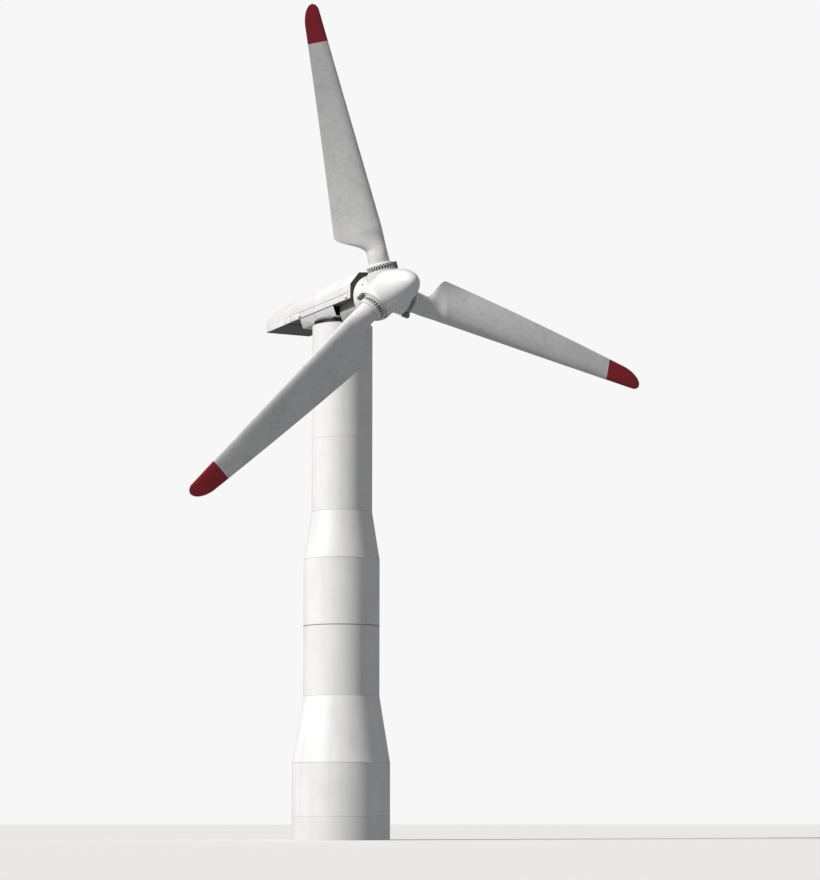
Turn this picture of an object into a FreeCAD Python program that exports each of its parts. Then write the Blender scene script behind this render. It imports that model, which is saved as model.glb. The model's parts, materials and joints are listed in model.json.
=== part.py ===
import FreeCAD, Part
import math
import os
import Sketcher

# A three-bladed upwind wind turbine with a stepped tubular tower.
# Millimetres, +Z up, origin at the centre of the tower base, nose towards -Y.

DIMENSIONS = {
    # tower
    "base_radius": 1440,
    "middle_radius": 1125,
    "top_radius": 900,
    "plate": 24,
    "seam_base": 695,
    "base_top": 2238,
    "lower_cone_top": 4180,
    "joint_level": 6240,
    "middle_top": 8210,
    "upper_cone_top": 9630,
    "top_seam_low": 11800,
    "top_seam_high": 13830,
    "tower_top": 15230,
    "flange_depth": 190,
    "flange_plate": 60,
    "anchor_circle": 1330,
    "anchor_count": 32,
    "joint_circle": 1030,
    "joint_bolt_count": 36,
    # yaw drive
    "yaw_module": 12,
    "yaw_ring_teeth": 110,
    "yaw_pinion_teeth": 11,
    "yaw_ring_thickness": 60,
    "yaw_ring_radius": 850,
    "seal_gap": 2,
    "yaw_race_top": 15345,
    # nacelle
    "half_width": 750,
    "tail_half_width": 730,
    "taper_y": 2335,
    "nose_y": -2170,
    "tail_y": 4120,
    "keel_rear_y": 1500,
    "keel_front_y": -910,
    "keel_low_half_width": 630,
    "keel_half_width": 500,
    "chin_half_width": 500,
    "floor_level": 15680,
    "band_top": 15870,
    "shoulder_level": 16100,
    "ridge_level": 16450,
    "roof_level": 16490,
    "ridge_half": 480,
    "tail_shoulder_drop": 85,
    "tail_ridge_spread": 60,
    "tail_ridge_drop": 195,
    "tail_roof_drop": 205,
    "rear_split_y": 2180,
    "rear_split_width": 26,
    "tail_split_y": 2660,
    "tail_split_width": 10,
    "groove_depth": 8,
    "top_line": 12,
    "chin_low_level": 15190,
    "chin_bend_level": 15340,
    "chin_tip_level": 15480,
    "chin_side_level": 15430,
    "chin_bend_length": 140,
    "prow_length": 160,
    "skin": 12,
    "flap_front_y": -1950,
    "flap_rear_y": 1550,
    "panel_gap": 14,
    "bed_thickness": 45,
    "bed_foot": 40,
    # shaft line
    "shaft_tilt": 1,
    "shaft_height": 15684,
    "hub_distance": 3100,
    "shaft_radius": 110,
    "shaft_bore": 45,
    "rod_radius": 28,
    "running_gap": 0.08,
    "front_bearing": 1850,
    "rear_bearing": 850,
    "bearing_half_length": 100,
    "hub_flange_face": 2560,
    "hub_flange_radius": 300,
    "gearbox_front": -140,
    "gearbox_rear": -520,
    "gearbox_wall": 12,
    "shaft_collar_radius": 90,
    "shaft_end_radius": 60,
    "countershaft_radius": 30,
    "spindle_radius": 22,
    "brake_rear": -575,
    "brake_thickness": 15,
    "generator_front": -690,
    "generator_rear": -1390,
    "generator_wall": 45,
    "drum_radius": 158,
    "cylinder_front": -700,
    "cylinder_rear": -1300,
    "cylinder_radius": 65,
    "piston_radius": 44,
    # gears
    "slow_module": 8,
    "slow_gear_teeth": 50,
    "slow_pinion_teeth": 15,
    "fast_module": 5,
    "fast_gear_teeth": 60,
    "fast_pinion_teeth": 15,
    "brake_radius": 150,
    "generator_radius": 200,
    # rotor
    "rotor_radius": 8700,
    "rest_azimuth": -16,
    "spinner_radius": 610,
    "spinner_rear_radius": 685,
    "spinner_rear": 2250,
    "nose_length": 1800,
    "hub_radius": 515,
    "arm_radius": 400,
    "arm_end": 560,
    "race_outer": 450,
    "race_inner": 340,
    "race_top": 620,
    "collar_radius": 400,
    "collar_bottom": 750,
    "collar_top": 850,
    "neck_radius": 310,
    "edge_lead": 340,
    "edge_sweep": 135,
    "swell_span": 1240,
    "stud_count": 28,
    "stud_circle": 372,
    "stud_radius": 14,
    # blade
    "shoulder_span": 1900,
    "largest_chord": 1450,
    "paint_span": 7540,
    "paint_chord": 660,
    "root_twist": 17,
    "tip_back_length": 620,
    "tip_front_length": 210,
    "blade_wall": 30,
}

doc = FreeCAD.newDocument("WindTurbine")
sheet = doc.addObject("Spreadsheet::Sheet", "Dimensions")
for row, (alias, number) in enumerate(DIMENSIONS.items(), start=1):
    sheet.set(f"A{row}", alias)
    sheet.set(f"B{row}", str(number))
    sheet.setAlias(f"B{row}", alias)
doc.recompute()

nodes = []


def size(expression):
    """The value of an expression written with the sheet's aliases."""
    return float(sheet.evalExpression(bound(expression)))


def bound(expression):
    """The same expression with every alias referring to the sheet."""
    words = str(expression).split()
    return " ".join("Dimensions." + word if word in DIMENSIONS else word for word in words)


def vec(x, y, z):
    return FreeCAD.Vector(x, y, z)


# ---------------------------------------------------------------- features

def new_body(name):
    body = doc.addObject("PartDesign::Body", name)
    body.Label = name
    nodes.append(body)
    return body


def plane_of(body, role):
    return next(item for item in body.Origin.OriginFeatures if item.Role == role)


def attached_sketch(body, role, offset="0"):
    sketch = body.newObject("Sketcher::SketchObject", body.Name + "_sketch")
    sketch.AttachmentSupport = [(plane_of(body, role), "")]
    sketch.MapMode = "FlatFace"
    sketch.setExpression("AttachmentOffset.Base.z", bound(offset))
    return sketch


def fix_point(sketch, geometry, position, across, up):
    """Hold a sketch point at two sheet expressions from the origin."""
    for kind, expression in (("DistanceX", across), ("DistanceY", up)):
        number = sketch.addConstraint(
            Sketcher.Constraint(kind, -1, 1, geometry, position, size(expression)))
        sketch.setExpression(f"Constraints[{number}]", bound(expression))


def polygon_sketch(body, role, points, offset="0"):
    sketch = attached_sketch(body, role, offset)
    corners = [vec(size(across), size(up), 0) for across, up in points]
    for index, corner in enumerate(corners):
        sketch.addGeometry(Part.LineSegment(corner, corners[(index + 1) % len(corners)]), False)
    for index in range(len(corners)):
        following = (index + 1) % len(corners)
        sketch.addConstraint(Sketcher.Constraint("Coincident", index, 2, following, 1))
    for index, (across, up) in enumerate(points):
        fix_point(sketch, index, 1, across, up)
    return sketch


def circle_sketch(body, role, circles, offset="0"):
    """A sketch of circles, each given as (across, up, radius)."""
    sketch = attached_sketch(body, role, offset)
    for across, up, radius in circles:
        circle = Part.Circle(vec(size(across), size(up), 0), vec(0, 0, 1), size(radius))
        index = sketch.addGeometry(circle, False)
        number = sketch.addConstraint(Sketcher.Constraint("Radius", index, size(radius)))
        sketch.setExpression(f"Constraints[{number}]", bound(radius))
        if across == "0" and up == "0":
            sketch.addConstraint(Sketcher.Constraint("Coincident", index, 3, -1, 1))
        else:
            fix_point(sketch, index, 3, across, up)
    return sketch


def add_pad(body, sketch, length, midplane=False, backwards=False):
    pad = body.newObject("PartDesign::Pad", body.Name + "_pad")
    pad.Profile = sketch
    pad.setExpression("Length", bound(length))
    pad.Midplane = midplane
    pad.Reversed = backwards
    sketch.Visibility = False
    return pad


def add_pocket(body, sketch, length, midplane=False, backwards=False):
    pocket = body.newObject("PartDesign::Pocket", body.Name + "_pocket")
    pocket.Profile = sketch
    pocket.setExpression("Length", bound(length))
    pocket.Midplane = midplane
    pocket.Reversed = backwards
    return pocket


def add_revolution(body, sketch):
    turn = body.newObject("PartDesign::Revolution", body.Name + "_turn")
    turn.Profile = sketch
    turn.ReferenceAxis = (sketch, ["V_Axis"])
    turn.Angle = 360
    return turn


def around(body, feature, count):
    pattern = body.newObject("PartDesign::PolarPattern", body.Name + "_pattern")
    pattern.Originals = [feature]
    pattern.Axis = (next(a for a in body.Origin.OriginFeatures if a.Role == "Z_Axis"), [""])
    pattern.Angle = 360
    pattern.setExpression("Occurrences", bound(count))
    body.Tip = pattern
    return pattern


def turned(name, profile):
    """A body of revolution about its own Z axis, from (radius, height) pairs."""
    body = new_body(name)
    add_revolution(body, polygon_sketch(body, "XZ_Plane", profile))
    return body


def shaped(name, shape, placement=FreeCAD.Placement()):
    """A piece whose shape is worked out with Part's own functions."""
    piece = doc.addObject("Part::Feature", name)
    piece.Shape = shape
    piece.Placement = placement.multiply(shape.Placement)
    piece.Label = name
    nodes.append(piece)
    return piece


# ---------------------------------------------------------------- frames

def shaft_frame(distance=0.0, side=0.0, rise=0.0):
    """A frame on the shaft line: +Z forward along it, +Y up, +X to the right."""
    turn = FreeCAD.Rotation(vec(1, 0, 0), 90 - size("shaft_tilt"))
    origin = vec(0, 0, size("shaft_height"))
    return FreeCAD.Placement(origin + turn.multVec(vec(side, rise, distance)), turn)


def blade_frame(number):
    """A blade's frame: +Z out along its span, +X towards its leading edge."""
    angle = math.radians(size("rest_azimuth") + 120 * number)
    across = vec(math.cos(angle), -math.sin(angle), 0)
    outward = vec(math.sin(angle), math.cos(angle), 0)
    turn = FreeCAD.Rotation(across, vec(0, 0, -1), outward, "ZXY")
    return shaft_frame(size("hub_distance")).multiply(FreeCAD.Placement(vec(0, 0, 0), turn))


# ---------------------------------------------------------------- tower

def tower_can(name, low, high, low_radius, high_radius):
    """One rolled plate section of the tower, straight or conical."""
    return turned(name, [
        (f"{low_radius} - plate", low),
        (low_radius, low),
        (high_radius, high),
        (f"{high_radius} - plate", high),
    ])


def base_section():
    """The lowest can, with its inward foundation flange and anchor holes."""
    body = turned("tower_base_can", [
        ("base_radius - flange_depth", "0"),
        ("base_radius", "0"),
        ("base_radius", "seam_base"),
        ("base_radius - plate", "seam_base"),
        ("base_radius - plate", "flange_plate"),
        ("base_radius - flange_depth", "flange_plate"),
    ])
    hole = circle_sketch(body, "XY_Plane", [("anchor_circle", "0", "22")])
    around(body, add_pocket(body, hole, "flange_plate", backwards=True), "anchor_count")
    return body


def bolt_head(radius, height, bore=0):
    """A hexagon of the given corner radius, with an optional bore."""
    corners = [vec(radius * math.cos(math.radians(60 * i)),
                   radius * math.sin(math.radians(60 * i)), 0) for i in range(7)]
    head = Part.Face(Part.makePolygon(corners)).extrude(vec(0, 0, height))
    if bore:
        head = head.cut(Part.makeCylinder(bore, height))
    return head


def ring_of(shape, circle, count, level):
    """Copies of a shape, evenly spaced on a circle about Z."""
    copies = []
    total = int(size(count))
    for index in range(total):
        copy = shape.copy()
        copy.translate(vec(size(circle), 0, level))
        copy.rotate(vec(0, 0, 0), vec(0, 0, 1), 360.0 * index / total)
        copies.append(copy)
    return Part.makeCompound(copies)


def section_joint():
    """The two inward flanges of the bolted joint, and its bolts."""
    outer, level, deep = size("middle_radius - plate"), size("joint_level"), size("flange_plate")
    rings = []
    for low in (level - deep, level):
        ring = rod(outer, low, low + deep, outer - size("flange_depth"))
        holes = ring_of(rod(16.5, -1, deep + 1), "joint_circle", "joint_bolt_count", low)
        rings.append(ring.cut(holes))
    shaped("joint_flanges", Part.makeCompound(rings))

    grip, head = 2 * deep, 20
    bolt = bolt_head(27, head).fuse(rod(16, head, 2 * head + grip + 20))
    nut = bolt_head(27, head)
    nut.translate(vec(0, 0, head + grip))
    shaped("joint_bolts", ring_of(bolt.fuse(nut), "joint_circle", "joint_bolt_count",
                                  level - deep - head))


def tower():
    base_section()
    tower_can("tower_lower_can", "seam_base", "base_top", "base_radius", "base_radius")
    tower_can("tower_lower_cone", "base_top", "lower_cone_top", "base_radius", "middle_radius")
    tower_can("tower_middle_can_low", "lower_cone_top", "joint_level",
              "middle_radius", "middle_radius")
    section_joint()
    tower_can("tower_middle_can_high", "joint_level", "middle_top",
              "middle_radius", "middle_radius")
    tower_can("tower_upper_cone", "middle_top", "upper_cone_top", "middle_radius", "top_radius")
    tower_can("tower_top_can_low", "upper_cone_top", "top_seam_low", "top_radius", "top_radius")
    tower_can("tower_top_can_middle", "top_seam_low", "top_seam_high",
              "top_radius", "top_radius")
    turned("tower_top_can_high", [
        ("top_radius - plate", "top_seam_high"),
        ("top_radius", "top_seam_high"),
        ("top_radius", "tower_top"),
        ("top_radius - flange_depth", "tower_top"),
        ("top_radius - flange_depth", "tower_top - flange_plate"),
        ("top_radius - plate", "tower_top - flange_plate"),
    ])


# ---------------------------------------------------------------- gears

def gear_outline(teeth, module, internal=False):
    """A closed toothed outline; an internal one is the hole of a ring gear."""
    pitch_radius = module * teeth / 2
    short, deep = 0.9 * module, 1.2 * module
    low, high = pitch_radius - deep, pitch_radius + short
    wide, narrow = 0.26, 0.13
    if internal:
        low, high = pitch_radius - short, pitch_radius + deep
        wide, narrow = 0.5 - narrow, 0.5 - wide
    step = 2 * math.pi / teeth
    points = []
    for index in range(teeth):
        for offset, radius in ((-wide, low), (-narrow, high), (narrow, high), (wide, low)):
            angle = (index + offset) * step
            points.append(vec(radius * math.cos(angle), radius * math.sin(angle), 0))
    return Part.Face(Part.makePolygon(points + points[:1]))


def gear_wheel(teeth, module, low, high, phase, bore=0):
    """A gear from one height to another on Z, one tooth pointing at the phase angle."""
    wheel = gear_outline(teeth, module).extrude(vec(0, 0, high - low))
    if bore:
        wheel = wheel.cut(Part.makeCylinder(bore, high - low))
    wheel.translate(vec(0, 0, low))
    wheel.rotate(vec(0, 0, 0), vec(0, 0, 1), phase)
    return wheel


def rod(radius, low, high, bore=0):
    """A cylinder from one height to another on Z, with an optional bore."""
    bar = Part.makeCylinder(radius, high - low, vec(0, 0, low))
    if bore:
        bar = bar.cut(Part.makeCylinder(bore, high - low, vec(0, 0, low)))
    return bar


def outline_face(points, place):
    """A flat face through 2-D points, each set in space by the given function."""
    corners = [place(*point) for point in points]
    return Part.Face(Part.makePolygon(corners + corners[:1]))


def block(x_range, y_range, z_range):
    (x0, x1), (y0, y1), (z0, z1) = x_range, y_range, z_range
    return Part.makeBox(x1 - x0, y1 - y0, z1 - z0, vec(x0, y0, z0))


def mesh_frames():
    """Where the geared shafts stand beside the main shaft: (side, rise, direction)."""
    slow_distance = size("slow_module * ( slow_gear_teeth + slow_pinion_teeth ) / 2")
    fast_distance = size("fast_module * ( fast_gear_teeth + fast_pinion_teeth ) / 2")
    slow_angle, fast_angle = 120.0, 30.0
    middle = vec(slow_distance, 0, 0)
    middle = FreeCAD.Rotation(vec(0, 0, 1), slow_angle).multVec(middle)
    fast = FreeCAD.Rotation(vec(0, 0, 1), fast_angle).multVec(vec(fast_distance, 0, 0))
    return middle, middle + fast, slow_angle, fast_angle


# ---------------------------------------------------------------- yaw drive

def yaw_drive():
    low = size("tower_top")
    ring = rod(size("yaw_ring_radius"), low, low + size("yaw_ring_thickness"))
    hole = gear_outline(int(size("yaw_ring_teeth")), size("yaw_module"), internal=True)
    hole = hole.extrude(vec(0, 0, size("yaw_ring_thickness")))
    hole.translate(vec(0, 0, low))
    shaped("yaw_ring_gear", ring.cut(hole))

    turned("yaw_upper_race", [
        ("yaw_ring_radius - 120", "tower_top + yaw_ring_thickness + seal_gap"),
        ("yaw_ring_radius", "tower_top + yaw_ring_thickness + seal_gap"),
        ("yaw_ring_radius", "yaw_race_top"),
        ("yaw_ring_radius - 120", "yaw_race_top"),
    ])

    bed_top = size("yaw_race_top + bed_foot + bed_thickness")
    for name, centre, angle in yaw_pinions():
        wheel = gear_wheel(int(size("yaw_pinion_teeth")), size("yaw_module"),
                           low + 2, low + size("yaw_ring_thickness") - 2, angle)
        axle = rod(30, low + 2, bed_top + 70)
        shaped(name, wheel.fuse(axle), FreeCAD.Placement(centre, FreeCAD.Rotation()))

    motors = []
    for name, centre, angle in yaw_pinions():
        motor = rod(105, bed_top, bed_top + 22).fuse(rod(82, bed_top + 22, bed_top + 230))
        motor = motor.fuse(rod(70, bed_top + 230, bed_top + 470))
        motor = motor.cut(rod(30 + size("running_gap"), bed_top, bed_top + 75))
        motor.translate(centre)
        motors.append(motor)
    shaped("yaw_motors", Part.makeCompound(motors))


def yaw_pinions():
    """Name, centre and bearing of each yaw pinion, in front of the tower's centre.

    Each stands at a gap of the ring gear, the same number of teeth off the nose line.
    """
    teeth = int(size("yaw_ring_teeth"))
    reach = size("yaw_module * ( yaw_ring_teeth - yaw_pinion_teeth ) / 2")
    nose_gap = 0.75 * teeth
    for name, off in (("yaw_pinion_right", 7.5), ("yaw_pinion_left", -7.5)):
        angle = 360.0 * (nose_gap + off) / teeth
        turn = math.radians(angle)
        yield name, vec(reach * math.cos(turn), reach * math.sin(turn), 0), angle


# ---------------------------------------------------------------- nacelle

def bedplate():
    """A round foot on the yaw race under a long plate, open over the tower."""
    body = new_body("bedplate")
    foot = circle_sketch(body, "XY_Plane", [("0", "0", "yaw_ring_radius")], "yaw_race_top")
    add_pad(body, foot, "bed_foot")
    bed = polygon_sketch(body, "XY_Plane", [
        ("0 - keel_half_width + 40", "nose_y + 175"),
        ("keel_half_width - 40", "nose_y + 175"),
        ("keel_half_width - 40", "keel_rear_y - 50"),
        ("0 - keel_half_width + 40", "keel_rear_y - 50"),
    ], "yaw_race_top + bed_foot")
    add_pad(body, bed, "bed_thickness")
    wings = circle_sketch(body, "XY_Plane", [("0", "0", "yaw_ring_radius - 60")],
                          "yaw_race_top + bed_foot")
    add_pad(body, wings, "bed_thickness")
    hole = circle_sketch(body, "XY_Plane", [("0", "0", "300")], "yaw_race_top")
    add_pocket(body, hole, "bed_foot + bed_thickness", backwards=True)
    for name, centre, angle in yaw_pinions():
        hole = circle_sketch(body, "XY_Plane", [(str(centre.x), str(centre.y), "78")],
                             "yaw_race_top")
        add_pocket(body, hole, "bed_foot + bed_thickness", backwards=True)
    return body


def above_bed(shape):
    """The shape without what would reach below the bedplate's top."""
    top = size("yaw_race_top + bed_foot + bed_thickness")
    return shape.cut(block((-2000, 2000), (-4000, 4000), (top - 3000, top)))


def on_shaft(shape, side=0.0, rise=0.0):
    """A shape made on its own Z axis, set parallel to the shaft line."""
    moved = shape.copy()
    moved.Placement = shaft_frame(0, side, rise)
    return moved


def main_bearings():
    bore, half = size("shaft_radius + running_gap"), size("bearing_half_length")
    housings = []
    for station in (size("front_bearing"), size("rear_bearing")):
        pedestal = block((-260, 260), (-450, 90), (station - half, station + half))
        crown = rod(190, station - 0.8 * half, station + 0.8 * half)
        drill = rod(bore, station - 1.1 * half, station + 1.1 * half)
        housings.append(above_bed(on_shaft(pedestal.fuse(crown).cut(drill))))
    shaped("main_bearings", Part.makeCompound(housings))


def main_shaft():
    """The hollow shaft: hub flange, bearing seats, gear seat and stepped tail."""
    turned("main_shaft", [
        ("shaft_bore", "gearbox_rear - 10"),
        ("shaft_end_radius", "gearbox_rear - 10"),
        ("shaft_end_radius", "gearbox_rear + 175"),
        ("shaft_collar_radius", "gearbox_rear + 175"),
        ("shaft_collar_radius", "gearbox_front + 10"),
        ("shaft_radius", "gearbox_front + 10"),
        ("shaft_radius", "hub_flange_face - 120"),
        ("shaft_radius + 50", "hub_flange_face - 60"),
        ("hub_flange_radius", "hub_flange_face - 60"),
        ("hub_flange_radius", "hub_flange_face"),
        ("shaft_bore", "hub_flange_face"),
    ]).Placement = shaft_frame()


def gearbox(middle, fast, slow_angle, fast_angle):
    """Two spur stages: slow wheel, countershaft, fast spindle, and their case."""
    front, rear = size("gearbox_front"), size("gearbox_rear")
    slow_module, fast_module = size("slow_module"), size("fast_module")
    slow_teeth, slow_pinion = int(size("slow_gear_teeth")), int(size("slow_pinion_teeth"))
    fast_teeth, fast_pinion = int(size("fast_gear_teeth")), int(size("fast_pinion_teeth"))
    slow_wheel, fast_wheel = (front - 170, front - 90), (rear + 100, rear + 160)
    shaped("slow_gear", gear_wheel(slow_teeth, slow_module, *slow_wheel, slow_angle,
                                   size("shaft_collar_radius")), shaft_frame())

    countershaft = gear_wheel(slow_pinion, slow_module, slow_wheel[0] - 5, slow_wheel[1] + 5,
                              slow_angle + 180 + 180.0 / slow_pinion)
    countershaft = countershaft.fuse(rod(size("countershaft_radius"), rear + 5, front - 5))
    countershaft = countershaft.fuse(gear_wheel(fast_teeth, fast_module, *fast_wheel, fast_angle))
    shaped("countershaft", countershaft, shaft_frame(0, middle.x, middle.y))

    spindle = gear_wheel(fast_pinion, fast_module, fast_wheel[0] - 5, fast_wheel[1] + 5,
                         fast_angle + 180 + 180.0 / fast_pinion)
    spindle = spindle.fuse(rod(size("spindle_radius"), size("generator_rear") + 5, front - 5))
    spindle = spindle.fuse(rod(60, size("generator_front") + 10, size("generator_front") + 90))
    spindle = spindle.fuse(rod(size("drum_radius"), size("generator_rear") + 50,
                               size("generator_front") - 50))
    shaped("generator_spindle", spindle, shaft_frame(0, fast.x, fast.y))

    wall = size("gearbox_wall")
    across, up = (-304, 228), (-217, 400)
    case = block(across, up, (rear, front))
    case = case.cut(block((across[0] + wall, across[1] - wall), (up[0] + 8, up[1] - wall),
                          (rear + wall, front - wall)))
    drills = [
        (vec(0, 0, 0), size("shaft_collar_radius"), -300, front + 10),
        (vec(0, 0, 0), size("shaft_end_radius"), rear - 10, -300),
        (middle, size("countershaft_radius"), rear - 10, front + 10),
        (fast, size("spindle_radius"), rear - 10, front + 10),
    ]
    for centre, radius, low, high in drills:
        drill = rod(radius + 0.1, low, high)
        drill.translate(centre)
        case = case.cut(drill)
    shaped("gearbox_case", above_bed(on_shaft(case)))


def brake(fast):
    rear, thickness = size("brake_rear"), size("brake_thickness")
    beside = shaft_frame(0, fast.x, fast.y)
    disc = rod(size("brake_radius"), rear, rear + thickness, size("spindle_radius"))
    shaped("brake_disc", disc, beside)
    caliper = block((-60, 60), (70, 185), (rear - 25, rear + thickness + 40))
    slot = block((-61, 61), (60, size("brake_radius") + 10), (rear - 2, rear + thickness + 2))
    shaped("brake_caliper", caliper.cut(slot), beside)


def generator(fast):
    radius, wall = size("generator_radius"), size("generator_wall")
    rear, front = size("generator_rear"), size("generator_front")
    drum_room = rod(size("drum_radius") + 2, rear + wall, front - wall)
    frame = rod(radius, rear, front, size("spindle_radius") + 0.1).cut(drum_room)
    foot = block((125, 165), (-420, 0), (rear + 60, front - 60))
    feet = foot.fuse(foot.mirror(vec(0, 0, 0), vec(1, 0, 0)))
    feet = feet.cut(rod(radius - 10, rear - 10, front + 10))
    shaped("generator", above_bed(on_shaft(frame.fuse(feet), fast.x, fast.y)))


def pitch_cylinder():
    """The hydraulic cylinder behind the hollow shaft, on a stand of its own."""
    rear, front = size("cylinder_rear"), size("cylinder_front")
    radius = size("cylinder_radius")
    barrel = rod(radius, rear, front)
    barrel = barrel.cut(rod(size("piston_radius") + 0.1, rear + 10, front - 15))
    barrel = barrel.cut(rod(size("rod_radius") + 0.2, front - 20, front + 10))
    stand = block((-60, 60), (-260, -40), (rear + 150, front - 150))
    stand = stand.cut(rod(radius - 5, rear, front))
    shaped("pitch_cylinder", above_bed(on_shaft(barrel.fuse(stand))))


def drive_train():
    middle, fast, slow_angle, fast_angle = mesh_frames()
    main_bearings()
    main_shaft()
    gearbox(middle, fast, slow_angle, fast_angle)
    brake(fast)
    generator(fast)
    pitch_cylinder()


def plan_half_width(y):
    """Half the nacelle's width at a station, narrowing towards the tail."""
    part = max(0.0, (y - size("taper_y")) / (size("tail_y") - size("taper_y")))
    return size("half_width") + part * (size("tail_half_width") - size("half_width"))


def plan_face(inset, level):
    """The nacelle's plan outline at a level, drawn in by an inset."""
    nose, tail = size("nose_y") + inset, size("tail_y") - inset
    bend = size("taper_y")
    points = [(-1, nose), (-1, bend), (-1, tail), (1, tail), (1, bend), (1, nose)]
    corners = [vec(side * (plan_half_width(y) - inset), y, level) for side, y in points]
    return Part.Face(Part.makePolygon(corners + corners[:1]))


def hood_section(y, shoulder, ridge_half, ridge, roof, inset):
    half = plan_half_width(y) - inset
    ridge_half = ridge_half - 0.4 * inset
    low = size("band_top") if inset == 0 else size("band_top") - 1
    points = [(-half, low), (-half, shoulder - 0.3 * inset), (-ridge_half, ridge - inset),
              (0, roof - inset), (ridge_half, ridge - inset), (half, shoulder - 0.3 * inset),
              (half, low)]
    corners = [vec(x, y, z) for x, z in points]
    return Part.makePolygon(corners + corners[:1])


def hood_solid(inset):
    """The hood's outer or inner form, as a ruled loft of a few sections."""
    shoulder, ridge = size("shoulder_level"), size("ridge_level")
    roof, half = size("roof_level"), size("ridge_half")
    nose = size("nose_y") - (1 if inset else 0)
    stations = [
        (nose, shoulder, half, ridge, roof),
        (size("taper_y"), shoulder, half, ridge, roof),
        (size("tail_y") - inset, shoulder - size("tail_shoulder_drop"),
         half + size("tail_ridge_spread"), ridge - size("tail_ridge_drop"),
         roof - size("tail_roof_drop")),
    ]
    return Part.makeLoft([hood_section(*station, inset) for station in stations], True, True)


def hood():
    shaped("hood", hood_solid(0).cut(hood_solid(size("skin"))))


def shaft_passage():
    """The room that the turning shaft needs where it leaves the nacelle."""
    room = rod(size("shaft_radius") + 25, 1900, 2600)
    room.Placement = shaft_frame()
    return room


def floor():
    """The flat floor, open over the keel; its tail part is the underside one sees."""
    skin = size("skin")
    level = size("floor_level") - skin
    plate = plan_face(0, level).extrude(vec(0, 0, skin))
    reach = size("keel_half_width") - skin
    opening = block((-reach, reach), (size("nose_y") + 40, size("keel_rear_y") - 40),
                    (level - 1, level + skin + 1))
    shaped("nacelle_floor", plate.cut(opening).cut(shaft_passage()))


def side_bands():
    """The fixed lower band: two short front pieces and the tail's U, with split lines."""
    low, high = size("floor_level"), size("band_top")
    ring = plan_face(0, low).extrude(vec(0, 0, high - low))
    ring = ring.cut(plan_face(size("skin"), low).extrude(vec(0, 0, high - low)))
    nose, gap, wide = size("nose_y"), size("panel_gap"), size("half_width") + 150
    cut_front, cut_rear = size("flap_front_y") - gap, size("flap_rear_y") + gap

    def slab(y0, y1, bottom=low - 1):
        return block((-wide, wide), (y0, y1), (bottom, high + 1))

    rear_split, tail_split = size("rear_split_y"), size("tail_split_y")
    tail_end = tail_split + size("tail_split_width")
    grooves = [
        slab(rear_split, rear_split + size("rear_split_width")),
        slab(tail_split, tail_end),
        slab(cut_rear, tail_end, high - size("top_line")),
        slab(nose - 1, cut_front, high - size("top_line")),
    ]
    core = plan_face(size("groove_depth"), low - 1).extrude(vec(0, 0, high - low + 2))
    for groove in grooves:
        ring = ring.cut(groove.cut(core))
    bow = block((-wide + 200, wide - 200), (nose - 1, nose + 100), (low - 1, high + 1))
    shaped("side_bands", ring.cut(slab(cut_front, cut_rear)).cut(bow))


def side_flap(name, side):
    """A long inspection flap, hung from its top edge."""
    gap, skin, half = size("panel_gap"), size("skin"), size("half_width")
    front, rear = size("flap_front_y"), size("flap_rear_y")
    low, high = size("floor_level") + 4, size("band_top") - 12
    plate = block((half - skin, half), (front, rear), (low, high))
    knuckles = []
    count = 5
    for index in range(count):
        y = front + (rear - front) * (index + 0.5) / count
        knuckles.append(Part.makeCylinder(5, 90, vec(half + gap, y - 45, high + gap), vec(0, 1, 0)))
        knuckles.append(block((half - 2, half + gap + 2), (y - 45, y + 45), (high - 14, high + 4)))
    flap = plate
    for knuckle in knuckles:
        flap = flap.fuse(knuckle)
    if side < 0:
        flap = flap.mirror(vec(0, 0, 0), vec(1, 0, 0))
    shaped(name, flap)


def flap_latch(name, side, end):
    """A quarter-turn lever near a flap's lower corner, lying along the flap."""
    half = size("half_width")
    reach = 1 if end == "front" else -1
    edge = size("flap_front_y") if end == "front" else size("flap_rear_y")
    y = edge + reach * 42
    z = size("floor_level") + 44
    knob = Part.makeCylinder(24, 16, vec(half, y, z), vec(1, 0, 0))
    lever = block((half + 3, half + 14), (min(y, y + reach * 90), max(y, y + reach * 90)),
                  (z - 11, z + 11))
    latch = knob.fuse(lever)
    if side < 0:
        latch = latch.mirror(vec(0, 0, 0), vec(1, 0, 0))
    shaped(name, latch)


def trough(inset, y0, y1):
    """The keel's outer or inner form between two stations."""
    wide, narrow = size("half_width") - 10 - inset, size("keel_low_half_width") - inset
    top = size("floor_level") - size("skin") + (1 if inset else 0)
    low = size("yaw_race_top + bed_foot") - size("skin") + inset
    section = outline_face([(-wide, top), (-narrow, low), (narrow, low), (wide, top)],
                           lambda x, z: vec(x, y0, z))
    return section.extrude(vec(0, y1 - y0, 0))


def keel():
    """The housing under the floor, over the yaw drive, with inward leaning sides."""
    front, rear, skin = size("keel_front_y"), size("keel_rear_y"), size("skin")
    shell = trough(0, front, rear).cut(trough(skin, front - 1, rear - skin))
    foot = rod(size("yaw_ring_radius") + 2, size("yaw_race_top") - 50,
               size("yaw_race_top + bed_foot + bed_thickness") + 1)
    shaped("keel", shell.cut(foot))


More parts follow.
